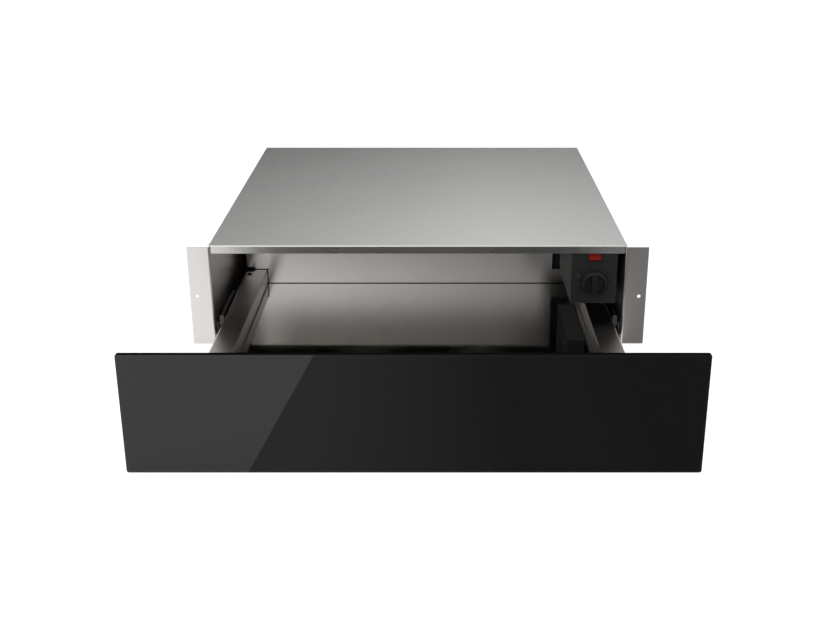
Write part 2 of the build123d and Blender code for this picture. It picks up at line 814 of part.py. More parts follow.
# Glass: one toughened pane with small rounded corners and a ground edge.
glass_rear_y = drawer_y - glass_gap
with BuildPart() as glass_front:
    with BuildSketch(Plane.XZ.offset(-glass_rear_y)):
        with Locations((0, glass_underside + glass_height / 2)):
            RectangleRounded(glass_width, glass_height, glass_corner)
    extrude(amount=glass_thickness)
    chamfer(glass_front.faces().sort_by(Axis.Y)[0].outer_wire().edges(), length=glass_bevel)
save(glass_front, "glass_front")

# Bonding tape: a frame of four strips between the pane and the panel.
with BuildPart() as bonding_tape:
    with BuildSketch(Plane.XZ.offset(-panel_face_y)):
        with Locations((0, panel_centre)):
            with GridLocations(0, panel_height - 2 * tape_width, 1, 2):
                Rectangle(panel_width - 4 * tape_width, tape_width)
            with GridLocations(panel_width - 2 * tape_width, 0, 2, 1):
                Rectangle(tape_width, panel_height - 4 * tape_width)
    extrude(amount=tape_thickness)
save(bonding_tape, "bonding_tape")

# Panel pads: four rubber buttons on the side returns that meet the mounting flanges.
with BuildPart() as panel_pads:
    with BuildSketch(Plane.XZ.offset(-panel_rear_y)):
        with Locations((0, panel_centre)):
            with GridLocations(panel_width - panel_return, pad_spacing, 2, 2):
                Circle(pad_radius)
    extrude(amount=-pad_thickness)
save(panel_pads, "panel_pads")

# Bottom pan: the tray under the floor; its side walls carry the drawer rails.
pan_top = pan_bottom + pan_sheet
pan_side = rail_root - pan_sheet / 2
profile_under = side_profile_top - drawer_sheet
pan_length = rear_wall_y - panel_back_y
with BuildPart() as bottom_pan:
    with BuildSketch(Plane.XZ.offset(-rear_wall_y)):
        with BuildLine():
            FilletPolyline(
                (-pan_side, profile_under),
                (-pan_side, pan_bottom + pan_sheet / 2),
                (pan_side, pan_bottom + pan_sheet / 2),
                (pan_side, profile_under),
                radius=fold_radius,
            )
        trace(line_width=pan_sheet)
    extrude(amount=pan_length)
save(bottom_pan, "bottom_pan")

# Drawer floor: the warm plate, with side lips that stand in the pan.
floor_edge = drawer_inner - floor_gap - drawer_sheet / 2
floor_level = floor_top - drawer_sheet / 2
with BuildPart() as drawer_floor:
    with BuildSketch(Plane.XZ.offset(-rear_wall_y + end_gap)):
        with BuildLine():
            FilletPolyline(
                (-floor_edge, pan_top),
                (-floor_edge, floor_level),
                (floor_edge, floor_level),
                (floor_edge, pan_top),
                radius=floor_fold,
            )
        trace(line_width=drawer_sheet)
    extrude(amount=pan_length - end_gap - floor_gap)
save(drawer_floor, "drawer_floor")


rear_notch = rail_root + slide_inset  # half width left between the notches at the rear
side_screw_x = drawer_outer - side_screw_edge


def build_drawer_side(side):
    """Side profile: inner wall, wide flat top and a short outer lip over the slide."""
    inner = drawer_inner + drawer_sheet / 2
    outer = drawer_outer - drawer_sheet / 2
    level = side_profile_top - drawer_sheet / 2
    line = [
        (inner, pan_top),
        (inner, level),
        (outer, level),
        (outer, side_profile_top - side_profile_lip),
    ]
    with BuildPart() as profile:
        with BuildSketch(Plane.XZ.offset(-rear_wall_y + end_gap)):
            with BuildLine():
                FilletPolyline(*[(side * x, z) for x, z in line], radius=profile_fold)
            trace(line_width=drawer_sheet)
        extrude(amount=pan_length - end_gap)
        tab_width = pan_side - pan_sheet / 2 - drawer_inner
        with BuildSketch(Plane.XZ.offset(-panel_back_y)):
            with Locations((side * (drawer_inner + tab_width / 2), level)):
                Rectangle(tab_width, level - pan_top - fold_radius, align=(Align.CENTER, Align.MAX))
        extrude(amount=-drawer_sheet)
        with BuildSketch(Plane.XY.offset(side_profile_top - side_profile_lip)):
            with Locations((side * drawer_outer, rear_wall_y)):
                RectangleRounded(
                    2 * (drawer_outer - rear_notch),
                    2 * rear_notch_length,
                    rail_notch_radius,
                )
        extrude(amount=side_profile_lip, mode=Mode.SUBTRACT)
        with BuildSketch(Plane.XY.offset(profile_under)):
            with Locations((side * side_screw_x, rear_wall_y - side_screw_inset)):
                Circle(screw_radius)
        extrude(amount=drawer_sheet, mode=Mode.SUBTRACT)
    return profile


for side, hand in ((1, "right"), (-1, "left")):
    save(build_drawer_side(side), f"drawer_side_{hand}")

# Rear wall: full height up to the control housing, low beyond it, notched over the rails.
wall_right = control_left - wall_clearance
with BuildPart() as drawer_rear_wall:
    with BuildSketch(Plane.YZ.offset(-drawer_outer)):
        with BuildLine():
            FilletPolyline(
                (rear_wall_y + drawer_sheet / 2, pan_bottom),
                (rear_wall_y + drawer_sheet / 2, rear_wall_top - drawer_sheet / 2),
                (rear_wall_y + rear_wall_hem, rear_wall_top - drawer_sheet / 2),
                radius=fold_radius,
            )
        trace(line_width=drawer_sheet)
    extrude(amount=drawer_outer + wall_right)
    with BuildSketch(Plane.XZ.offset(-rear_wall_y)):
        with Locations((wall_right, pan_bottom)):
            Rectangle(
                drawer_outer - wall_right,
                side_profile_top - pan_bottom,
                align=(Align.MIN, Align.MIN),
            )
    extrude(amount=-drawer_sheet)
    with BuildSketch(Plane.XZ.offset(-rear_wall_y)) as rail_notches:
        with Locations((0, pan_bottom)):
            with GridLocations(2 * drawer_outer, 0, 2, 1):
                Rectangle(2 * (drawer_outer - rear_notch), 2 * (rail_notch_height - pan_bottom))
        fillet(rail_notches.vertices(), radius=rail_notch_radius)
    extrude(amount=-drawer_sheet, mode=Mode.SUBTRACT)
save(drawer_rear_wall, "drawer_rear_wall")

# Side screws: one at the rear of each side profile.
with BuildPart() as side_screws:
    for side in (-1, 1):
        seat = Plane((side * side_screw_x, rear_wall_y - side_screw_inset, side_profile_top))
        add(build_screw(seat, drawer_sheet))
save(side_screws, "side_screws")


# ================================================================== heating
# Blower housing: a moulded hood on the drawer floor, open below, with a low row of outlet
# slots to the left and an intake to the right.
blower_centre = (blower_left + blower_right) / 2
blower_top = floor_top + blower_height
with BuildPart() as blower_housing:
    with BuildSketch(Plane.XY.offset(floor_top)):
        with Locations((blower_centre, fan_y)):
            Rectangle(blower_width, blower_length)
    extrude(amount=blower_height)
    fillet(blower_housing.edges().filter_by(Axis.Z), radius=blower_edge)
    fillet(blower_housing.faces().sort_by(Axis.Z)[-1].outer_wire().edges(), radius=blower_edge)
    with BuildSketch(Plane.XY.offset(floor_top)):
        with Locations((blower_centre, fan_y)):
            Rectangle(blower_width - 2 * blower_wall, blower_length - 2 * blower_wall)
    extrude(amount=blower_height - blower_wall, mode=Mode.SUBTRACT)
    with BuildSketch(Plane.YZ.offset(blower_left)):
        with Locations((fan_y, floor_top + slot_pitch / 2 + slot_height / 2)):
            with GridLocations(slot_pitch, 0, slot_count, 1):
                Rectangle(slot_width, slot_height)
    extrude(amount=blower_wall, mode=Mode.SUBTRACT)
    with BuildSketch(Plane.YZ.offset(blower_right)):
        with Locations((fan_y, fan_z)):
            with GridLocations(0, 2 * slot_width, 1, 5):
                Rectangle(intake_width, slot_width)
    extrude(amount=-blower_wall, mode=Mode.SUBTRACT)
save(blower_housing, "blower_housing")

# Fan frame: square with a round bore; four struts hold the bearing boss at the intake side.
fan_plane = Plane.YZ.offset(fan_x)
strut_length = 2 * (fan_bore_radius + strut_root)
with BuildPart() as fan_frame:
    with BuildSketch(fan_plane):
        with Locations((fan_y, fan_z)):
            RectangleRounded(fan_size, fan_size, fan_size / 10)
            Circle(fan_bore_radius, mode=Mode.SUBTRACT)
    extrude(amount=fan_depth)
    with BuildSketch(fan_plane.offset(fan_depth - boss_thickness)):
        with Locations((fan_y, fan_z)):
            Circle(fan_hub_radius)
            Rectangle(strut_length, boss_thickness, rotation=45)
            Rectangle(strut_length, boss_thickness, rotation=-45)
            Circle(fan_shaft_radius + fan_shaft_play, mode=Mode.SUBTRACT)
    extrude(amount=boss_thickness)
save(fan_frame, "fan_frame")

# Fan rotor: a hub with pitched blades on a shaft that turns in the boss.
rotor_depth = fan_depth - boss_thickness - rotor_gap - boss_gap
blade_reach = fan_bore_radius - fan_tip_gap - fan_hub_radius
with BuildPart() as fan_rotor:
    with BuildSketch(fan_plane.offset(rotor_gap)):
        with Locations((fan_y, fan_z)):
            Circle(fan_hub_radius)
    extrude(amount=rotor_depth)
    for index in range(fan_blades):
        turn = radians(360 * index / fan_blades)
        outward = (0, cos(turn), sin(turn))
        root = Plane((fan_x + rotor_gap + rotor_depth / 2, fan_y, fan_z), x_dir=(1, 0, 0), z_dir=outward)
        with BuildSketch(root.offset(fan_hub_radius - blade_root)):
            Rectangle(rotor_depth, fan_blade_sheet, rotation=fan_pitch)
        extrude(amount=blade_root + blade_reach)
    with BuildSketch(fan_plane.offset(rotor_gap)):
        with Locations((fan_y, fan_z)):
            Circle(fan_shaft_radius)
    extrude(amount=fan_depth - rotor_gap)
save(fan_rotor, "fan_rotor")

# Air heater: a finned block between the fan and the outlet slots.
heater_left = blower_left + blower_wall
heater_depth = fan_x - sheet_gap - heater_left
with BuildPart() as air_heater:
    with BuildSketch(Plane.YZ.offset(heater_left)):
        with Locations((fan_y, fan_z)):
            Rectangle(fan_size, fan_size)
            with GridLocations(0, fan_size / fin_rows, 1, fin_rows):
                Rectangle(fan_size - 2 * fin_gap, fan_size / fin_rows - fin_sheet, mode=Mode.SUBTRACT)
    extrude(amount=heater_depth)
save(air_heater, "air_heater")

# Floor heater: a flat mat under the floor plate, with insulation and a cut-out disc below.
mat_top = floor_top - drawer_sheet
mat_bottom = mat_top - heater_mat_thickness
mat_y = (panel_back_y + rear_wall_y) / 2
with BuildPart() as floor_heater:
    with BuildSketch(Plane.XY.offset(mat_bottom)):
        with Locations((0, mat_y)):
            RectangleRounded(heater_mat_width, heater_mat_length, heater_mat_width / 20)
    extrude(amount=heater_mat_thickness)
save(floor_heater, "floor_heater")

with BuildPart() as floor_insulation:
    with BuildSketch(Plane.XY.offset(pan_top)):
        with Locations((0, mat_y)):
            Rectangle(heater_mat_width + insulation_margin, heater_mat_length + insulation_margin)
            Circle(cutout_radius + cutout_gap, mode=Mode.SUBTRACT)
    extrude(amount=mat_bottom - pan_top)
save(floor_insulation, "floor_insulation")

with BuildPart() as thermal_cutout:
    with BuildSketch(Plane.XY.offset(mat_bottom)):
        with Locations((0, mat_y)):
            Circle(cutout_radius)
    extrude(amount=-cutout_height)
save(thermal_cutout, "thermal_cutout")


# ================================================================== rear fittings
# Push latch: a tube on the back panel whose sprung plunger stops and releases the drawer.
with BuildPart() as latch_body:
    with BuildSketch(Plane.XZ.offset(-back_inner)):
        with Locations((0, latch_height)):
            RectangleRounded(latch_plate_width, latch_plate_height, latch_plate_corner)
    extrude(amount=latch_plate)
    with BuildSketch(Plane.XZ.offset(-back_inner)):
        with Locations((0, latch_height)):
            Circle(latch_body_radius)
    extrude(amount=back_inner - latch_body_y)
    with BuildSketch(Plane.XZ.offset(-latch_body_y)):
        with Locations((0, latch_height)):
            Circle(latch_stem_radius + latch_play)
    extrude(amount=latch_body_y + latch_plate - back_inner, mode=Mode.SUBTRACT)
save(latch_body, "latch_body")

stem_end = back_inner - latch_plate - latch_travel - latch_end_spare
with BuildPart() as latch_plunger:
    with BuildSketch(Plane.XZ.offset(-stem_end)):
        with Locations((0, latch_height)):
            Circle(latch_stem_radius)
    extrude(amount=stem_end - latch_tip_y)
    with BuildSketch(Plane.XZ.offset(-latch_tip_y - latch_tip_thickness)):
        with Locations((0, latch_height)):
            Circle(latch_tip_radius)
    extrude(amount=latch_tip_thickness)
    chamfer(latch_plunger.faces().sort_by(Axis.Y)[0].outer_wire().edges(), length=latch_tip_edge)
save(latch_plunger, "latch_plunger")

# Terminal box: a moulded cup on the back panel, its lid, and the block inside.
terminal_front = back_inner - terminal_depth
with BuildPart() as terminal_box:
    with BuildSketch(Plane.XZ.offset(-back_inner)):
        with Locations((terminal_offset, terminal_centre)):
            RectangleRounded(terminal_width, terminal_height, terminal_wall * 1.5)
    extrude(amount=terminal_depth - terminal_wall)
    with BuildSketch(Plane.XZ.offset(-back_inner + terminal_wall)):
        with Locations((terminal_offset, terminal_centre)):
            Rectangle(terminal_width - 2 * terminal_wall, terminal_height - 2 * terminal_wall)
    extrude(amount=terminal_depth, mode=Mode.SUBTRACT)
    with BuildSketch(Plane.XY.offset(terminal_centre - terminal_height / 2)):
        with Locations((terminal_offset, back_inner - terminal_depth / 2)):
            Circle(gland_bore_radius)
    extrude(amount=terminal_wall, mode=Mode.SUBTRACT)
    with BuildSketch(Plane.XY.offset(terminal_top)):
        with Locations((terminal_offset, lead_y)):
            Circle(lead_radius + lead_play)
    extrude(amount=-terminal_wall, mode=Mode.SUBTRACT)
save(terminal_box, "terminal_box")

with BuildPart() as terminal_lid:
    with BuildSketch(Plane.XZ.offset(-terminal_front)):
        with Locations((terminal_offset, terminal_centre)):
            RectangleRounded(terminal_width, terminal_height, terminal_wall * 1.5)
    extrude(amount=-terminal_wall)
save(terminal_lid, "terminal_lid")

with BuildPart() as terminal_block:
    with BuildSketch(Plane.XZ.offset(-back_inner + terminal_wall)):
        with Locations((terminal_offset, terminal_centre)):
            Rectangle(3 * pole_pitch, 2 * pole_pitch)
    extrude(amount=pole_pitch / 2)
    with BuildSketch(Plane.XZ.offset(-back_inner + terminal_wall + pole_pitch / 2)):
        with Locations((terminal_offset, terminal_centre)):
            with GridLocations(pole_pitch, 0, 3, 1):
                Rectangle(pole_width, pole_length)
            with GridLocations(pole_pitch, pole_pitch, 3, 2):
                Circle(screw_radius, mode=Mode.SUBTRACT)
    extrude(amount=pole_pitch / 2)
save(terminal_block, "terminal_block")

# Cable entry: a flanged bush through the back panel and the nut that holds it.
gland_axis = Axis((terminal_offset, 0, gland_centre), (0, 1, 0))
gland_plane = Plane((terminal_offset, back_outer, gland_centre), x_dir=(1, 0, 0), z_dir=(0, 0, 1))
with BuildPart() as inlet_gland:
    with BuildSketch(gland_plane):
        with BuildLine():
            Polyline(
                (gland_bore_radius, gland_flange),
                (gland_flange_radius, gland_flange),
                (gland_flange_radius, 0),
                (gland_radius, 0),
                (gland_radius, -gland_reach),
                (gland_bore_radius, -gland_reach),
                close=True,
            )
        make_face()
    revolve(axis=gland_axis)
    chamfer(inlet_gland.faces().sort_by(Axis.Y)[-1].outer_wire().edges(), length=gland_flange / 3)
save(inlet_gland, "inlet_gland")

with BuildPart() as gland_nut:
    with BuildSketch(Plane.XZ.offset(-back_inner)):
        with Locations((terminal_offset, gland_centre)):
            RegularPolygon(gland_flange_radius, 6)
            Circle(gland_radius, mode=Mode.SUBTRACT)
    extrude(amount=gland_flange)
save(gland_nut, "gland_nut")

# Inner lead: from the top of the terminal box along the right wall into the control housing.
with BuildPart() as inner_lead:
    with BuildLine() as lead_route:
        FilletPolyline(
            (terminal_offset, lead_y, terminal_top - lead_end),
            (terminal_offset, lead_y, lead_z),
            (lead_x, lead_y - lead_rear_run, lead_z),
            (lead_x, housing_rear + lead_entry_run + lead_front_run, lead_z),
            (knob_x, housing_rear + lead_entry_run, lead_z),
            (knob_x, housing_rear - lead_end, lead_z),
            radius=(lead_rise_radius, lead_bend_radius, lead_bend_radius, lead_bend_radius),
        )
    with BuildSketch(Plane(lead_route.line @ 0, z_dir=lead_route.line % 0)):
        Circle(lead_radius)
    sweep(path=lead_route.line)
save(inner_lead, "inner_lead")

# Lead clips: two nylon rings with a foot each on the right side wall.
clip_middle = (lead_y - lead_rear_run + housing_rear + lead_entry_run + lead_front_run) / 2
with BuildPart() as lead_clips:
    for clip_y in (clip_middle - clip_pitch / 2, clip_middle + clip_pitch / 2):
        with BuildSketch(Plane.XZ.offset(-clip_y)):
            with Locations((wall_inner, lead_z)):
                Rectangle(clip_wall, clip_foot, align=(Align.MAX, Align.CENTER))
                Rectangle(lead_inset, 2 * clip_wall, align=(Align.MAX, Align.CENTER))
            with Locations((lead_x, lead_z)):
                Circle(lead_radius + lead_play + clip_wall)
                Circle(lead_radius + lead_play, mode=Mode.SUBTRACT)
        extrude(amount=-clip_width)
save(lead_clips, "lead_clips")
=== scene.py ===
import math

import bmesh
import bpy
from mathutils import Matrix, Vector


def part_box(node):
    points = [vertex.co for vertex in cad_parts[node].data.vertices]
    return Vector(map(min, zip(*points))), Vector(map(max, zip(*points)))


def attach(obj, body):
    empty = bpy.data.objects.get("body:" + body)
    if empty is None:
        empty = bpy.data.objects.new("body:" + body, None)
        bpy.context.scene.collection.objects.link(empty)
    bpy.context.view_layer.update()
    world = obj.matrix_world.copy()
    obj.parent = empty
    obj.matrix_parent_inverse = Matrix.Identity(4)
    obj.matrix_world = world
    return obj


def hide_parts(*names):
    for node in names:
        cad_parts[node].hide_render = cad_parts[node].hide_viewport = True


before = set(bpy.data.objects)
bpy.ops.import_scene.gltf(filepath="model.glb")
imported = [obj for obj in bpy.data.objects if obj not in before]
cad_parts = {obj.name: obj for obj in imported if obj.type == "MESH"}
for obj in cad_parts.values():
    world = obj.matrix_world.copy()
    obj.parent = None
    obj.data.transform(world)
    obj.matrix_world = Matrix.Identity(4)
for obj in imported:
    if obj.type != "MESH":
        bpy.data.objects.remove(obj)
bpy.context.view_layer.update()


# ---------------------------------------------------------------- studio
# A plain pale floor and soft light: a large softbox low at the left, one overhead and a weak
# one at the right. Graded grey cards stand where only polished metal and glass can see them.
MM = 0.001
white_light = (1, 1, 1, 1)


def linear(code):
    """An sRGB hex colour, such as "#a0a0a0", as the linear RGBA that the shaders want."""
    levels = [int(code[place:place + 2], 16) / 255 for place in (1, 3, 5)]
    return tuple(v / 12.92 if v <= 0.04045 else ((v + 0.055) / 1.055) ** 2.4 for v in levels) + (1.0,)


def add_node(tree, kind, inputs=None, **settings):
    """Add a shader node, set its options, and fill or link its inputs by name or number."""
    node = tree.nodes.new("ShaderNode" + kind)
    for name, value in settings.items():
        setattr(node, name, value)
    for name, value in (inputs or {}).items():
        if isinstance(value, bpy.types.NodeSocket):
            tree.links.new(value, node.inputs[name])
        else:
            node.inputs[name].default_value = value
    return node


def new_material(name):
    """An empty node material and its tree."""
    material = bpy.data.materials.new(name)
    material.use_nodes = True
    material.node_tree.nodes.clear()
    return material, material.node_tree


def shown_rays(tree):
    """1 for camera, mirror and see-through rays, 0 for the rays that carry soft light."""
    path = add_node(tree, "LightPath")
    seen = add_node(tree, "Math", {0: path.outputs["Is Camera Ray"], 1: path.outputs["Is Glossy Ray"]},
                    operation="MAXIMUM")
    return add_node(tree, "Math", {0: seen.outputs[0], 1: path.outputs["Is Transmission Ray"]},
                    operation="MAXIMUM").outputs[0]


camera_place = Vector((19.98, -1674.1, 584.5)) * MM
camera_pitch = 21.045  # degrees below level
image_width = 826.0
focal_pixels = 1147.8
axis_pixel = 433.44  # column that the camera's axis meets
camera_data = bpy.data.cameras.new("camera")
camera_data.sensor_width = 36.0
camera_data.lens = focal_pixels / image_width * camera_data.sensor_width
camera_data.shift_x = (image_width / 2 - axis_pixel) / image_width
camera = bpy.data.objects.new("camera", camera_data)
camera.location = camera_place
camera.rotation_euler = (math.radians(90 - camera_pitch), 0, 0)
bpy.context.scene.collection.objects.link(camera)
bpy.context.scene.camera = camera
bpy.context.scene.view_settings.view_transform = "Standard"

# The world lights the object at a plain level, and the camera and mirrors see it pure white.
world_light = 0.62
world = bpy.data.worlds.new("studio")
bpy.context.scene.world = world
world.use_nodes = True
tree = world.node_tree
tree.nodes.clear()
sky = add_node(tree, "Background", {"Color": white_light, "Strength": world_light})
white = add_node(tree, "Background", {"Color": white_light, "Strength": 1.0})
mixed = add_node(tree, "MixShader", {0: shown_rays(tree), 1: sky.outputs[0], 2: white.outputs[0]})
add_node(tree, "OutputWorld", {"Surface": mixed.outputs[0]})


def softbox(name, centre, target, size, power):
    """A rectangular soft light at centre that faces target, in mm, with its power in watts.
    Polished metal doesn't mirror it, because it would burn out there."""
    light = bpy.data.lights.new(name, "AREA")
    light.shape = "RECTANGLE"
    light.size, light.size_y = size[0] * MM, size[1] * MM
    light.energy = power
    lamp = bpy.data.objects.new(name, light)
    lamp.location = Vector(centre) * MM
    aim = (Vector(target) - Vector(centre)).normalized()
    lamp.rotation_euler = aim.to_track_quat("-Z", "Y").to_euler()
    lamp.visible_glossy = False
    bpy.context.scene.collection.objects.link(lamp)


softbox("key_softbox", centre=(-1500, -1700, 900), target=(0, -300, 60), size=(1200, 1000), power=22)
softbox("top_softbox", centre=(200, -500, 2000), target=(0, -300, 0), size=(1600, 1200), power=14)
softbox("fill_softbox", centre=(1700, -1300, 1100), target=(0, -300, 60), size=(900, 900), power=5)


def stage_plane(name, corners, material):
    """A flat stage surface through corners, in mm."""
    mesh = bpy.data.meshes.new(name)
    mesh.from_pydata([Vector(corner) * MM for corner in corners], [], [range(len(corners))])
    plane = bpy.data.objects.new(name, mesh)
    plane.data.materials.append(material)
    bpy.context.scene.collection.objects.link(plane)
    return plane


# Floor paper: it lights the object as plain pale paper, and the camera and polished metal see
# it near white, with a soft shadow.
floor_reach = 9000
floor_drop = 0.2
mirror_glow = 0.62  # as polished metal and glass see it
camera_glow = 0.20  # added for the camera
floor_paint, tree = new_material("floor_paper")
lit = add_node(tree, "BsdfDiffuse", {"Color": linear("#e8e8e8")})
seen_lit = add_node(tree, "BsdfDiffuse", {"Color": linear("#a0a0a0")})
eye = add_node(tree, "LightPath").outputs["Is Camera Ray"]
strength = add_node(tree, "Math", {0: eye, 1: camera_glow, 2: mirror_glow}, operation="MULTIPLY_ADD")
glow = add_node(tree, "Emission", {"Color": white_light, "Strength": strength.outputs[0]})
seen = add_node(tree, "AddShader", {0: seen_lit.outputs[0], 1: glow.outputs[0]})
both = add_node(tree, "MixShader", {0: shown_rays(tree), 1: lit.outputs[0], 2: seen.outputs[0]})
add_node(tree, "OutputMaterial", {"Surface": both.outputs[0]})
stage_plane("floor", [(x * floor_reach, y * floor_reach, -floor_drop)
                      for x, y in ((-1, -1), (1, -1), (1, 1), (-1, 1))], floor_paint)


def grey_card(name, corners, ramps):
    """A card that only reflections see. Each ramp is (start, end, level at start, level at end),
    with its places in mm, and the levels of all ramps are multiplied."""
    material, tree = new_material(name)
    place = add_node(tree, "TexCoord").outputs["Object"]
    level = 1.0
    for start, end, first, last in ramps:
        start, end = Vector(start) * MM, Vector(end) * MM
        along = (end - start) / (end - start).length_squared
        run = add_node(tree, "VectorMath", {0: place, 1: tuple(along)}, operation="DOT_PRODUCT")
        share = add_node(tree, "Math", {0: run.outputs["Value"], 1: start.dot(along)}, operation="SUBTRACT")
        step = add_node(tree, "MapRange", {"Value": share.outputs[0], "To Min": first, "To Max": last})
        level = add_node(tree, "Math", {0: level, 1: step.outputs[0]}, operation="MULTIPLY").outputs[0]
    glow = add_node(tree, "Emission", {"Color": white_light, "Strength": level})
    add_node(tree, "OutputMaterial", {"Surface": glow.outputs[0]})
    card = stage_plane(name, corners, material)
    card.visible_camera = False
    card.visible_diffuse = False
    card.visible_transmission = False
    card.visible_shadow = False


# The floor card darkens what the pane and the right flange mirror; its slanting left edge is
# the line across the pane.
lift = 0.2  # over the floor
pane_gap = 1.3
flange_gap = 1.0
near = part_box("glass_front")[0].y / MM - pane_gap
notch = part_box("side_panel_right")[0].y / MM - flange_gap
edge_foot, edge_end = -172, -40  # of the slanting edge, from left to right
flank = 268  # just outside the right side wall
right, far = 1500, -1700
grey_card("floor_card",
          [(edge_foot, near, lift), (edge_end, far, lift), (right, far, lift),
           (right, notch, lift), (flank, notch, lift), (flank, near, lift)],
          [((-120, 0, 0), (110, 0, 0), 0.46, 0.19), ((200, 0, 0), (260, 0, 0), 1.0, 0.85)])

# The rear card stands behind the case and grades the cover from back left to front right.
reach, behind, top = 2600, 1500, 1600
grey_card("rear_card",
          [(-reach, behind, 0), (reach, behind, 0), (reach, behind, top), (-reach, behind, top)],
          [((-568, 0, 0), (214, 0, 0), 0.54, 0.94), ((214, 0, 0), (600, 0, 0), 1.0, 0.85),
           ((0, 0, 330), (0, 0, 860), 0.0, 1.12), ((-500, 0, 430), (-50, 0, 800), 0.86, 1.0)])

# The front card stands before the pane and lights the drawer's rear wall, most at the left.
left, right, before, foot, top = -450, 400, -760, 150, 480
grey_card("front_card",
          [(left, before, foot), (right, before, foot), (right, before, top), (left, before, top)],
          [((-387, 0, 0), (235, 0, 0), 1.6, 0.58)])


# ---------------------------------------------------------------- base plate and back panel
# The base tray and the back with its vents are folded from 1 mm hot-dip galvanised steel. The
# zinc freezes in flat crystals, which give a dull, mottled grey.
def dress(material, *nodes):
    """Give CAD nodes a material."""
    for name in nodes:
        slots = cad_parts[name].data.materials
        slots.clear()
        slots.append(material)


def galvanised_steel(name, colour, crystal):
    """Zinc-coated sheet: crystals, crystal mm wide, that differ a little in tone and gloss."""
    material, tree = new_material(name)
    haze_size = 33.333  # mm across a duller patch
    crystal_depth = 0.02  # mm
    place = add_node(tree, "TexCoord").outputs["Object"]
    cells = add_node(tree, "TexVoronoi", {"Vector": place, "Scale": 1 / (crystal * MM), "Randomness": 1.0})
    tone = add_node(tree, "SeparateColor", {"Color": cells.outputs["Color"]}).outputs["Red"]
    haze = add_node(tree, "TexNoise", {"Vector": place, "Scale": 1 / (haze_size * MM), "Detail": 3.0})
    shade = add_node(tree, "MapRange", {"Value": tone, "To Min": 0.90, "To Max": 1.05})
    tint = add_node(tree, "MixRGB", {"Fac": 1.0, "Color1": linear(colour), "Color2": shade.outputs[0]},
                    blend_type="MULTIPLY")
    gloss = add_node(tree, "MapRange", {"Value": tone, "To Min": 0.34, "To Max": 0.44})
    mottle = add_node(tree, "Math", {0: haze.outputs["Fac"], 1: 0.12, 2: gloss.outputs[0]},
                      operation="MULTIPLY_ADD")
    relief = add_node(tree, "Bump", {"Height": tone, "Strength": 0.08, "Distance": crystal_depth * MM})
    skin = add_node(tree, "BsdfPrincipled", {"Base Color": tint.outputs[0], "Metallic": 1.0,
                                             "Roughness": mottle.outputs[0], "Normal": relief.outputs[0]})
    add_node(tree, "OutputMaterial", {"Surface": skin.outputs[0]})
    return material


zinc_sheet = galvanised_steel("galvanised_sheet", "#c6c7c7", crystal=6.0)
dress(zinc_sheet, "base_plate", "back_panel")


# ---------------------------------------------------------------- side panels
# Stainless sheet, 1.2 mm, brushed by a belt and then folded: a satin skin of fine straight
# scratches that blur what it mirrors, and bends that gleam.
def brushed_stainless(name, colour, roughness, brush, contrast, relief, spread=0.8):
    """Brushed sheet: scratches along the brush axis differ in tone by contrast and in height by
    relief, and mirror images are drawn out across them, the more the larger spread is."""
    material, tree = new_material(name)
    scratch_length, scratch_gap = 90.0, 0.6  # mm; the real gap of 0.1 mm is drawn coarser to show
    scratch_depth = 0.01  # mm
    cloud_size = 111.11  # mm across a patch that the belt left duller
    off_axis = 0.02  # keeps the direction of the scratches from being square to a face
    place = add_node(tree, "TexCoord").outputs["Object"]
    scale = [1 / (scratch_gap * MM)] * 3
    scale["XYZ".index(brush)] = 1 / (scratch_length * MM)
    grain_place = add_node(tree, "Mapping", {"Vector": place, "Scale": scale})
    grain = add_node(tree, "TexNoise", {"Vector": grain_place.outputs[0], "Scale": 1.0, "Detail": 3.0,
                                        "Roughness": 0.6}).outputs["Fac"]
    cloud = add_node(tree, "TexNoise", {"Vector": place, "Scale": 1 / (cloud_size * MM),
                                        "Detail": 2.0}).outputs["Fac"]
    shade = add_node(tree, "MapRange", {"Value": grain, "From Min": 0.3, "From Max": 0.7,
                                        "To Min": 1 - contrast, "To Max": 1 + contrast})
    tint = add_node(tree, "MixRGB", {"Fac": 1.0, "Color1": linear(colour), "Color2": shade.outputs[0]},
                    blend_type="MULTIPLY")
    gloss = add_node(tree, "MapRange", {"Value": grain, "From Min": 0.3, "From Max": 0.7,
                                        "To Min": 0.99 * roughness, "To Max": roughness})
    mottle = add_node(tree, "Math", {0: cloud, 1: 0.12 * roughness, 2: gloss.outputs[0]},
                      operation="MULTIPLY_ADD")
    bump = add_node(tree, "Bump", {"Height": grain, "Strength": relief, "Distance": scratch_depth * MM})
    facing = add_node(tree, "NewGeometry").outputs["Normal"]
    scratches = tuple(1.0 if axis == brush else off_axis for axis in "XYZ")
    across = add_node(tree, "VectorMath", {0: facing, 1: scratches}, operation="CROSS_PRODUCT").outputs[0]
    skin = add_node(tree, "BsdfPrincipled", {"Base Color": tint.outputs[0], "Metallic": 1.0,
                                             "Roughness": mottle.outputs[0], "Normal": bump.outputs[0],
                                             "Anisotropic": spread, "Tangent": across})
    add_node(tree, "OutputMaterial", {"Surface": skin.outputs[0]})
    return material


# Brushed upwards: the palest steel of the case, and it draws mirror images out sideways.
wall_steel = brushed_stainless("brushed_stainless_wall", "#e6e2df", roughness=0.27, brush="Z",
                               contrast=0.003, relief=0.0005, spread=0.4)
dress(wall_steel, "side_panel_left", "side_panel_right")


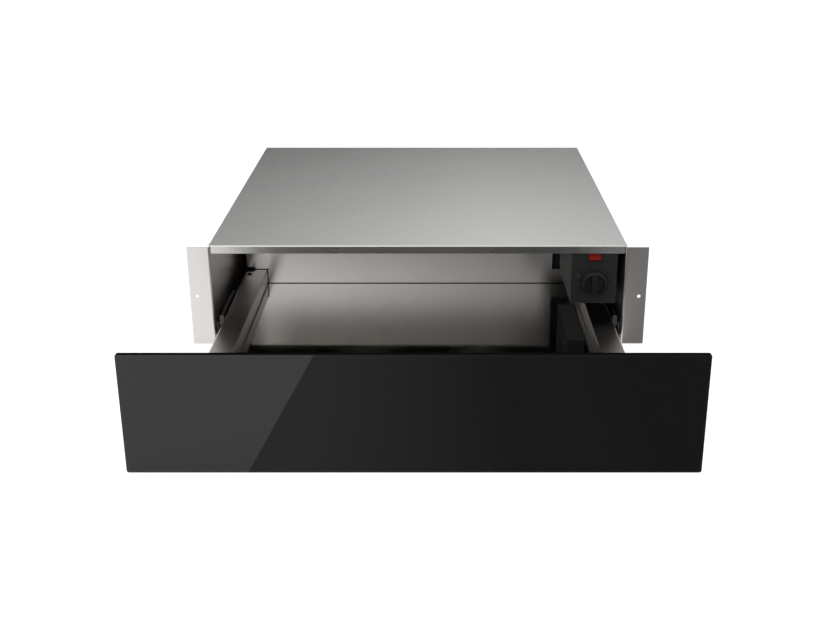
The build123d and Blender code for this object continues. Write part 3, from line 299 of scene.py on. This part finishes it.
# ---------------------------------------------------------------- slides
# Each slide hangs on two folded brackets. Its three rails are rolled from steel strip, cages
# pressed from thinner strip hold the balls, and a rubber stop ends the travel.
def smooth_metal(name, colour, roughness):
    """Plated, rolled or turned metal, with a slight cloudiness in its tone and gloss."""
    material, tree = new_material(name)
    cloud_size = 8.333  # mm
    place = add_node(tree, "TexCoord").outputs["Object"]
    cloud = add_node(tree, "TexNoise", {"Vector": place, "Scale": 1 / (cloud_size * MM),
                                        "Detail": 4.0}).outputs["Fac"]
    gloss = add_node(tree, "MapRange", {"Value": cloud, "From Min": 0.3, "From Max": 0.7,
                                        "To Min": 0.8 * roughness, "To Max": 1.2 * roughness})
    shade = add_node(tree, "MapRange", {"Value": cloud, "To Min": 0.93, "To Max": 1.04})
    tint = add_node(tree, "MixRGB", {"Fac": 1.0, "Color1": linear(colour), "Color2": shade.outputs[0]},
                    blend_type="MULTIPLY")
    skin = add_node(tree, "BsdfPrincipled", {"Base Color": tint.outputs[0], "Metallic": 1.0,
                                             "Roughness": gloss.outputs[0]})
    add_node(tree, "OutputMaterial", {"Surface": skin.outputs[0]})
    return material


def fine_grained(name, colour, roughness, grain, relief, mirror_share=0.5):
    """Anything but metal: an even tone and the grain of its mould, coat or fibres, grain in mm
    and relief from 0 to 1. A mirror_share of 0.5 is a plain surface, and less is duller."""
    material, tree = new_material(name)
    dust_size = 40.0  # mm across a patch that is a little dustier
    grain_depth = 0.05  # mm
    place = add_node(tree, "TexCoord").outputs["Object"]
    pits = add_node(tree, "TexNoise", {"Vector": place, "Scale": 1 / (grain * MM), "Detail": 2.0})
    dust = add_node(tree, "TexNoise", {"Vector": place, "Scale": 1 / (dust_size * MM),
                                       "Detail": 3.0}).outputs["Fac"]
    gloss = add_node(tree, "MapRange", {"Value": dust, "From Min": 0.3, "From Max": 0.7,
                                        "To Min": roughness - 0.04, "To Max": roughness + 0.04})
    shade = add_node(tree, "MapRange", {"Value": dust, "To Min": 0.9, "To Max": 1.1})
    tint = add_node(tree, "MixRGB", {"Fac": 1.0, "Color1": linear(colour), "Color2": shade.outputs[0]},
                    blend_type="MULTIPLY")
    bump = add_node(tree, "Bump", {"Height": pits.outputs["Fac"], "Strength": relief,
                                   "Distance": grain_depth * MM})
    skin = add_node(tree, "BsdfPrincipled", {"Base Color": tint.outputs[0], "Roughness": gloss.outputs[0],
                                             "IOR": 1.5, "Specular IOR Level": mirror_share,
                                             "Normal": bump.outputs[0]})
    add_node(tree, "OutputMaterial", {"Surface": skin.outputs[0]})
    return material


# Zinc plating: satin on the rails, darker and duller on the thick brackets, and paler on the
# thin cages. The balls are hardened steel, polished like a mirror. The rubber is matt.
rail_steel = smooth_metal("zinc_plated_rail", "#8f8f8e", roughness=0.32)
bracket_steel = smooth_metal("zinc_plated_bracket", "#5e5e5c", roughness=0.45)
cage_steel = smooth_metal("zinc_plated_cage", "#a9a8a3", roughness=0.34)
ball_steel = smooth_metal("polished_ball", "#c8c8c8", roughness=0.08)
rubber = fine_grained("black_rubber", "#1b1b1b", roughness=0.72, grain=0.8, relief=0.25)
for hand in ("left", "right"):
    dress(bracket_steel, f"rail_brackets_{hand}")
    dress(rail_steel, f"cabinet_rail_{hand}", f"middle_rail_{hand}", f"drawer_rail_{hand}")
    dress(cage_steel, f"outer_cage_{hand}", f"inner_cage_{hand}")
    dress(ball_steel, f"outer_balls_{hand}", f"inner_balls_{hand}")
    dress(rubber, f"rail_bumper_{hand}")


# ---------------------------------------------------------------- top cover
# One 0.8 mm stainless sheet, folded down all round and fixed by three pan-head screws through
# each side lip. Brushed from side to side, it has a soft, even satin.
cover_steel = brushed_stainless("brushed_stainless_cover", "#d6d5d3", roughness=0.26, brush="X",
                                contrast=0.004, relief=0.0005, spread=0.2)
dress(cover_steel, "top_cover")


def turned(mesh, profile, base, out, steps):
    """Add a solid of revolution: profile is (radius, height) pairs, in mm, from top to bottom,
    heights counted along out from the point base."""
    out = Vector(out).normalized()
    side = out.orthogonal().normalized()
    across = out.cross(side)
    angles = [2 * math.pi * step / steps for step in range(steps)]
    spokes = [side * math.cos(angle) + across * math.sin(angle) for angle in angles]
    rings = []
    for radius, height in profile:
        middle = Vector(base) + out * height * MM
        if radius == 0:
            rings.append([mesh.verts.new(middle)])
        else:
            rings.append([mesh.verts.new(middle + spoke * radius * MM) for spoke in spokes])
    for upper, lower in zip(rings, rings[1:]):
        for step in range(steps):
            corners = [upper[step % len(upper)], lower[step % len(lower)],
                       lower[(step + 1) % len(lower)], upper[(step + 1) % len(upper)]]
            mesh.faces.new(dict.fromkeys(corners))


def close_prism(mesh, top, bottom):
    """Add the two ends and the sides between two like outlines of vertices."""
    mesh.faces.new(top)
    mesh.faces.new(bottom[::-1])
    for index in range(len(top)):
        mesh.faces.new((top[index - 1], bottom[index - 1], bottom[index], top[index]))


def finish_piece(name, mesh, material, body, smooth_angle=40.0):
    """Turn a mesh under construction into a piece that rides on a body."""
    bmesh.ops.recalc_face_normals(mesh, faces=mesh.faces)
    data = bpy.data.meshes.new(name)
    mesh.to_mesh(data)
    mesh.free()
    data.materials.append(material)
    data.shade_smooth()
    data.set_sharp_from_angle(angle=math.radians(smooth_angle))
    piece = bpy.data.objects.new(name, data)
    bpy.context.scene.collection.objects.link(piece)
    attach(piece, body)
    return piece


head_radius, head_height = 3.4, 2.0  # of every screw


def cross_screw(reach):
    """Mesh of a pan-head screw with a cross recess; its head's underside is at the origin and
    its shank runs reach mm down."""
    shank_radius, thread_depth, thread_pitch = 1.65, 0.25, 0.8
    root_radius = shank_radius - thread_depth
    crown = [(0, head_height), (1.7, head_height - 0.06), (2.6, head_height - 0.4),
             (3.2, head_height - 1.0), (head_radius, head_height - 1.6), (head_radius, 0)]
    threads = []
    height = 0.0
    while height > thread_pitch - reach:
        threads += [(root_radius, height), (shank_radius, height - thread_pitch / 2)]
        height -= thread_pitch
    tip = [(root_radius, height), (0, -reach)]
    head = bmesh.new()
    turned(head, crown + threads + tip, (0, 0, 0), (0, 0, 1), steps=24)
    bmesh.ops.recalc_face_normals(head, faces=head.faces)

    arm, half, depth = 1.75, 0.4, 1.3  # length of an arm, half its width, and how deep it goes
    taper = 0.55  # size of the recess at its floor, as a share of that at its top
    above = 0.5  # that the cutter stands over the head
    outline = [(arm, half), (half, half), (half, arm), (-half, arm), (-half, half), (-arm, half),
               (-arm, -half), (-half, -half), (-half, -arm), (half, -arm), (half, -half), (arm, -half)]
    cutter = bmesh.new()
    top, floor = ([cutter.verts.new(Vector((x * share, y * share, level)) * MM) for x, y in outline]
                  for share, level in ((1, head_height + above), (taper, head_height - depth)))
    close_prism(cutter, top, floor)
    bmesh.ops.recalc_face_normals(cutter, faces=cutter.faces)

    solids = []
    for name, mesh in (("screw_blank", head), ("cross_cutter", cutter)):
        data = bpy.data.meshes.new(name)
        mesh.to_mesh(data)
        mesh.free()
        solids.append(bpy.data.objects.new(name, data))
        bpy.context.scene.collection.objects.link(solids[-1])
    cut = solids[0].modifiers.new("recess", "BOOLEAN")
    cut.operation = "DIFFERENCE"
    cut.solver = "EXACT"
    cut.object = solids[1]
    bpy.context.view_layer.update()
    shaped = solids[0].evaluated_get(bpy.context.evaluated_depsgraph_get())
    result = bpy.data.meshes.new_from_object(shaped)
    for solid in solids:
        bpy.data.objects.remove(solid)
    return result


def screw_row(name, seats, directions, reach, body, material):
    """A piece of like screws: seats are the points under their heads, directions where the heads
    point. Each is driven to another angle than the one before it."""
    turn_step = 35  # degrees
    blank = cross_screw(reach)
    row = bmesh.new()
    for index, (seat, out) in enumerate(zip(seats, directions)):
        screw = blank.copy()
        aim = Vector(out).to_track_quat("Z", "Y").to_matrix().to_4x4()
        turn = Matrix.Rotation(math.radians(turn_step * index), 4, "Z")
        screw.transform(Matrix.Translation(seat) @ aim @ turn)
        row.from_mesh(screw)
    return finish_piece(name, row, material, body, smooth_angle=30.0)


# The screws are plated in bright zinc, a little shinier than the cover.
cover_screw_reach = 5.2
screw_steel = smooth_metal("zinc_plated_screw", "#b5b4b0", roughness=0.24)
low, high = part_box("cover_screws")
seats, directions = [], []
for side in (-1, 1):
    for along in (low.y + head_radius * MM, (low.y + high.y) / 2, high.y - head_radius * MM):
        seats.append(Vector((side * (high.x - head_height * MM), along, (low.z + high.z) / 2)))
        directions.append((side, 0, 0))
cover_row = screw_row("cover_screw_row", seats, directions, cover_screw_reach, "carcass", screw_steel)
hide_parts("cover_screws")


# ---------------------------------------------------------------- rear fittings
# On the back panel: a moulded terminal box with its lid and block, a cable bush with its nut,
# and the push latch. The lead runs forward from the box in clips on the right side wall.
# Phenolic is dull and dark grey, nylon milky or black with a faint sheen, silicone smoother.
grey_phenolic = fine_grained("grey_phenolic", "#4c4b49", roughness=0.55, grain=0.6, relief=0.2)
dress(grey_phenolic, "terminal_box", "terminal_lid", "latch_body")
white_nylon = fine_grained("white_nylon", "#d9d7cf", roughness=0.5, grain=0.5, relief=0.1)
dress(white_nylon, "terminal_block", "latch_plunger", "lead_clips")
dress(rubber, "inlet_gland")
black_nylon = fine_grained("black_nylon", "#121211", roughness=0.5, grain=0.5, relief=0.2)
dress(black_nylon, "gland_nut")
silicone = fine_grained("black_silicone_sheath", "#141414", roughness=0.38, grain=1.2, relief=0.06)
dress(silicone, "inner_lead")


# ---------------------------------------------------------------- controls
# The box under the cover is moulded in glass-filled nylon, black with a fine matt grain. A
# thermostat with a turned brass spindle and a switch sit behind its fascia.
housing_nylon = fine_grained("black_nylon_housing", "#131312", roughness=0.52, grain=0.5, relief=0.2)
dress(housing_nylon, "control_housing", "control_fascia", "switch_body")
dress(grey_phenolic, "thermostat")
spindle_brass = smooth_metal("brass_spindle", "#c9a45c", roughness=0.30)
dress(spindle_brass, "thermostat_spindle")

# The knob is ABS, blacker than the nylon and with a smoother grain. The rocker is moulded in
# red polycarbonate, deep in tone and the smoothest of the three.
knob_plastic = fine_grained("black_abs_knob", "#101010", roughness=0.50, grain=0.4, relief=0.1,
                            mirror_share=0.3)
dress(knob_plastic, "control_knob")
rocker_plastic = fine_grained("red_polycarbonate_rocker", "#72120c", roughness=0.35, grain=0.6,
                              relief=0.05, mirror_share=0.12)
dress(rocker_plastic, "rocker_button")

# Dial marks: pad-printed in dull grey-white ink, a ring for off and plain dots round the knob.
ink = fine_grained("grey_ink", "#5c5c59", roughness=0.6, grain=0.3, relief=0.1)
ink_film = 0.04
weld = 0.001  # distance at which the ring's first and last corners are joined
dot_radius = 0.6
dot_places = ((-21.2, -1.3), (26.9, -0.3), (0.3, 22.2))  # right of and above the knob's axis
ring_outer, ring_inner = 1.5, 1.1
ring_place = (-20.3, 9.5)
knob_low, knob_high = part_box("control_knob")
knob_middle = (knob_low + knob_high) / 2
fascia_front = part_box("control_fascia")[0].y


def fascia_point(place):
    """The point of the fascia at place, in mm from the knob's axis."""
    return Vector((knob_middle.x + place[0] * MM, fascia_front, knob_middle.z + place[1] * MM))


marks = bmesh.new()
for place in dot_places:
    turned(marks, [(0, ink_film), (dot_radius, ink_film), (dot_radius, 0), (0, 0)],
           fascia_point(place), (0, -1, 0), steps=16)
turned(marks, [(ring_inner, 0), (ring_inner, ink_film), (ring_outer, ink_film), (ring_outer, 0),
               (ring_inner, 0)], fascia_point(ring_place), (0, -1, 0), steps=24)
bmesh.ops.remove_doubles(marks, verts=marks.verts, dist=weld * MM)
finish_piece("dial_marks", marks, ink, "carcass")

# Pointer: a darker ink laid in the cut of the knob, hardly lighter than the knob itself.
dark_ink = fine_grained("dark_grey_ink", "#2c2c2a", roughness=0.6, grain=0.3, relief=0.1)
pointer_width, pointer_length, pointer_depth = 1.1, 7.4, 0.2
pointer_centre, pointer_sink = 9.4, 0.35  # above the knob's axis, and behind its front
face = knob_low.y + pointer_sink * MM
corners = [(across * pointer_width / 2, pointer_centre + up * pointer_length / 2)
           for across, up in ((-1, -1), (1, -1), (1, 1), (-1, 1))]
pointer = bmesh.new()
front, rear = ([pointer.verts.new((knob_middle.x + x * MM, y, knob_middle.z + z * MM)) for x, z in corners]
               for y in (face, face + pointer_depth * MM))
close_prism(pointer, front, rear)
finish_piece("knob_pointer", pointer, dark_ink, "knob")


# ---------------------------------------------------------------- drawer
# The drawer is stainless too, screwed together from a floor, two side profiles and a rear wall,
# with a galvanised pan below.
dress(zinc_sheet, "bottom_pan")

# The floor is ground so fine that it is almost a mirror.
floor_steel = brushed_stainless("polished_stainless_floor", "#d6d3d0", roughness=0.045, brush="X",
                                contrast=0.006, relief=0.001, spread=0.3)
dress(floor_steel, "drawer_floor")

# The side profiles, brushed lengthwise, are the darkest and dullest of the drawer's steel. The
# rear wall, brushed from side to side, draws the dark and the light before it out upwards.
side_steel = brushed_stainless("brushed_stainless_side", "#b4b1af", roughness=0.28, brush="Y",
                               contrast=0.008, relief=0.002)
dress(side_steel, "drawer_side_left", "drawer_side_right")
rear_steel = brushed_stainless("brushed_stainless_rear", "#d6d3d1", roughness=0.22, brush="X",
                               contrast=0.008, relief=0.004)
dress(rear_steel, "drawer_rear_wall")

# Painted shadow: the rear wall's colour turns dark in a 1 mm line along its foot and round the ends of the
# sides, where shade falls into the joints.
shadow_line_width = 1.0
shadow_colour = "#3a3836"
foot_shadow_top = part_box("drawer_floor")[1].z + shadow_line_width * MM
side_low, side_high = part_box("drawer_side_right")
tree = rear_steel.node_tree
skin = next(node for node in tree.nodes if node.type == "BSDF_PRINCIPLED")
sheet_colour = skin.inputs["Base Color"].links[0].from_socket
spot = add_node(tree, "SeparateXYZ", {"Vector": add_node(tree, "TexCoord").outputs["Object"]})
outward = add_node(tree, "Math", {0: spot.outputs["X"]}, operation="ABSOLUTE")
beside = add_node(tree, "Math", {0: outward.outputs[0], 1: side_low.x - shadow_line_width * MM},
                  operation="GREATER_THAN")
under = add_node(tree, "Math", {0: spot.outputs["Z"], 1: side_high.z + shadow_line_width * MM},
                 operation="LESS_THAN")
corner = add_node(tree, "Math", {0: beside.outputs[0], 1: under.outputs[0]}, operation="MULTIPLY")
foot = add_node(tree, "Math", {0: spot.outputs["Z"], 1: foot_shadow_top}, operation="LESS_THAN")
# Painted shadow mask: 1 along the wall's foot and beside the ends of the side profiles, where the dark
# shadow colour is mixed into the steel.
painted_joint_shadow = add_node(tree, "Math", {0: corner.outputs[0], 1: foot.outputs[0]}, operation="MAXIMUM")
shadow_painted_tint = add_node(tree, "MixRGB", {"Fac": painted_joint_shadow.outputs[0], "Color1": sheet_colour,
                                   "Color2": linear(shadow_colour)})
tree.links.new(shadow_painted_tint.outputs[0], skin.inputs["Base Color"])

# Each side profile's screw is blackened in hot oxide, dark and satin.
side_screw_reach = 1.2
black_oxide = smooth_metal("black_oxide_screw", "#2a2928", roughness=0.42)
low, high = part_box("side_screws")
seats = [Vector((side * (high.x - head_radius * MM), (low.y + high.y) / 2, high.z - head_height * MM))
         for side in (-1, 1)]
side_pair = screw_row("side_screw_pair", seats, [(0, 0, 1)] * 2, side_screw_reach, "drawer", black_oxide)
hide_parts("side_screws")


# ---------------------------------------------------------------- heating
# A mat in bright rolled foil, on a board of yellowish mineral wool, warms the floor. A small
# fan in a phenolic frame blows over plain aluminium fins, inside a hood on the floor.
heater_foil = smooth_metal("aluminium_foil", "#c4c4c4", roughness=0.35)
dress(heater_foil, "floor_heater")
mineral_wool = fine_grained("mineral_wool", "#b9ae84", roughness=0.9, grain=2.0, relief=0.9)
dress(mineral_wool, "floor_insulation")
dress(grey_phenolic, "thermal_cutout", "fan_frame")
fin_aluminium = smooth_metal("aluminium_fin", "#b8b8b8", roughness=0.35)
dress(fin_aluminium, "air_heater")

# The hood and the rotor are heat-proof nylon, moulded in a blasted mould: black and dead matt.
hood_nylon = fine_grained("black_nylon_hood", "#161616", roughness=0.85, grain=0.5, relief=0.2,
                          mirror_share=0.02)
dress(hood_nylon, "blower_housing", "fan_rotor")


# ---------------------------------------------------------------- front
# The pan behind the glass is pressed steel with a black powder coat, which leaves a fine
# orange-peel skin. Dull closed-cell foam tape holds the pane to it, and rubber pads meet the
# flanges.
powder_coat = fine_grained("black_powder_coat", "#161616", roughness=0.46, grain=0.9, relief=0.35)
dress(powder_coat, "front_panel")
foam = fine_grained("closed_cell_foam", "#101010", roughness=0.9, grain=0.5, relief=0.5)
dress(foam, "bonding_tape")
dress(rubber, "panel_pads")

# Pane: 5 mm toughened float glass, enamelled black on its rear face, its edges ground matt.
# The enamel stops short of the edge, which shows as a thin paler border.
border, border_blur = 3.0, 0.4
edge_grind = 0.6
smear_size = 142.86
ground_roughness = 0.6
glass_low, glass_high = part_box("glass_front")
middle = (glass_low + glass_high) / 2
half_size = (glass_high - glass_low) / 2
glass, tree = new_material("black_enamelled_glass")
place = add_node(tree, "TexCoord").outputs["Object"]
from_middle = add_node(tree, "VectorMath", {0: place, 1: tuple(middle)}, operation="SUBTRACT")
reach = add_node(tree, "VectorMath", {0: from_middle.outputs[0]}, operation="ABSOLUTE")
inward = add_node(tree, "VectorMath", {0: tuple(half_size), 1: reach.outputs[0]}, operation="SUBTRACT")
sides = add_node(tree, "SeparateXYZ", {"Vector": inward.outputs[0]})
to_edge = add_node(tree, "Math", {0: sides.outputs["X"], 1: sides.outputs["Z"]},
                   operation="MINIMUM").outputs[0]
bare = add_node(tree, "MapRange", {"Value": to_edge, "From Min": (border - border_blur) * MM,
                                   "From Max": border * MM, "To Min": 1.0, "To Max": 0.0}).outputs[0]
ground = add_node(tree, "MapRange", {"Value": to_edge, "From Min": edge_grind / 2 * MM,
                                     "From Max": edge_grind * MM, "To Min": 1.0, "To Max": 0.0}).outputs[0]
smears = add_node(tree, "TexNoise", {"Vector": place, "Scale": 1 / (smear_size * MM),
                                     "Detail": 4.0}).outputs["Fac"]
clean = add_node(tree, "MapRange", {"Value": smears, "From Min": 0.35, "From Max": 0.7,
                                    "To Min": 0.012, "To Max": 0.035}).outputs[0]
gloss = add_node(tree, "Math", {0: ground, 1: ground_roughness, 2: clean}, operation="MULTIPLY_ADD")
enamel = add_node(tree, "MixRGB", {"Fac": bare, "Color1": linear("#070707"), "Color2": linear("#0d0d0d")})
tint = add_node(tree, "MixRGB", {"Fac": ground, "Color1": enamel.outputs[0], "Color2": linear("#0b0c0b")})
mirror = add_node(tree, "MapRange", {"Value": ground, "To Min": 0.5, "To Max": 0.0}).outputs[0]
skin = add_node(tree, "BsdfPrincipled", {"Base Color": tint.outputs[0], "Roughness": gloss.outputs[0],
                                         "IOR": 1.52, "Specular IOR Level": mirror})
add_node(tree, "OutputMaterial", {"Surface": skin.outputs[0]})
dress(glass, "glass_front")
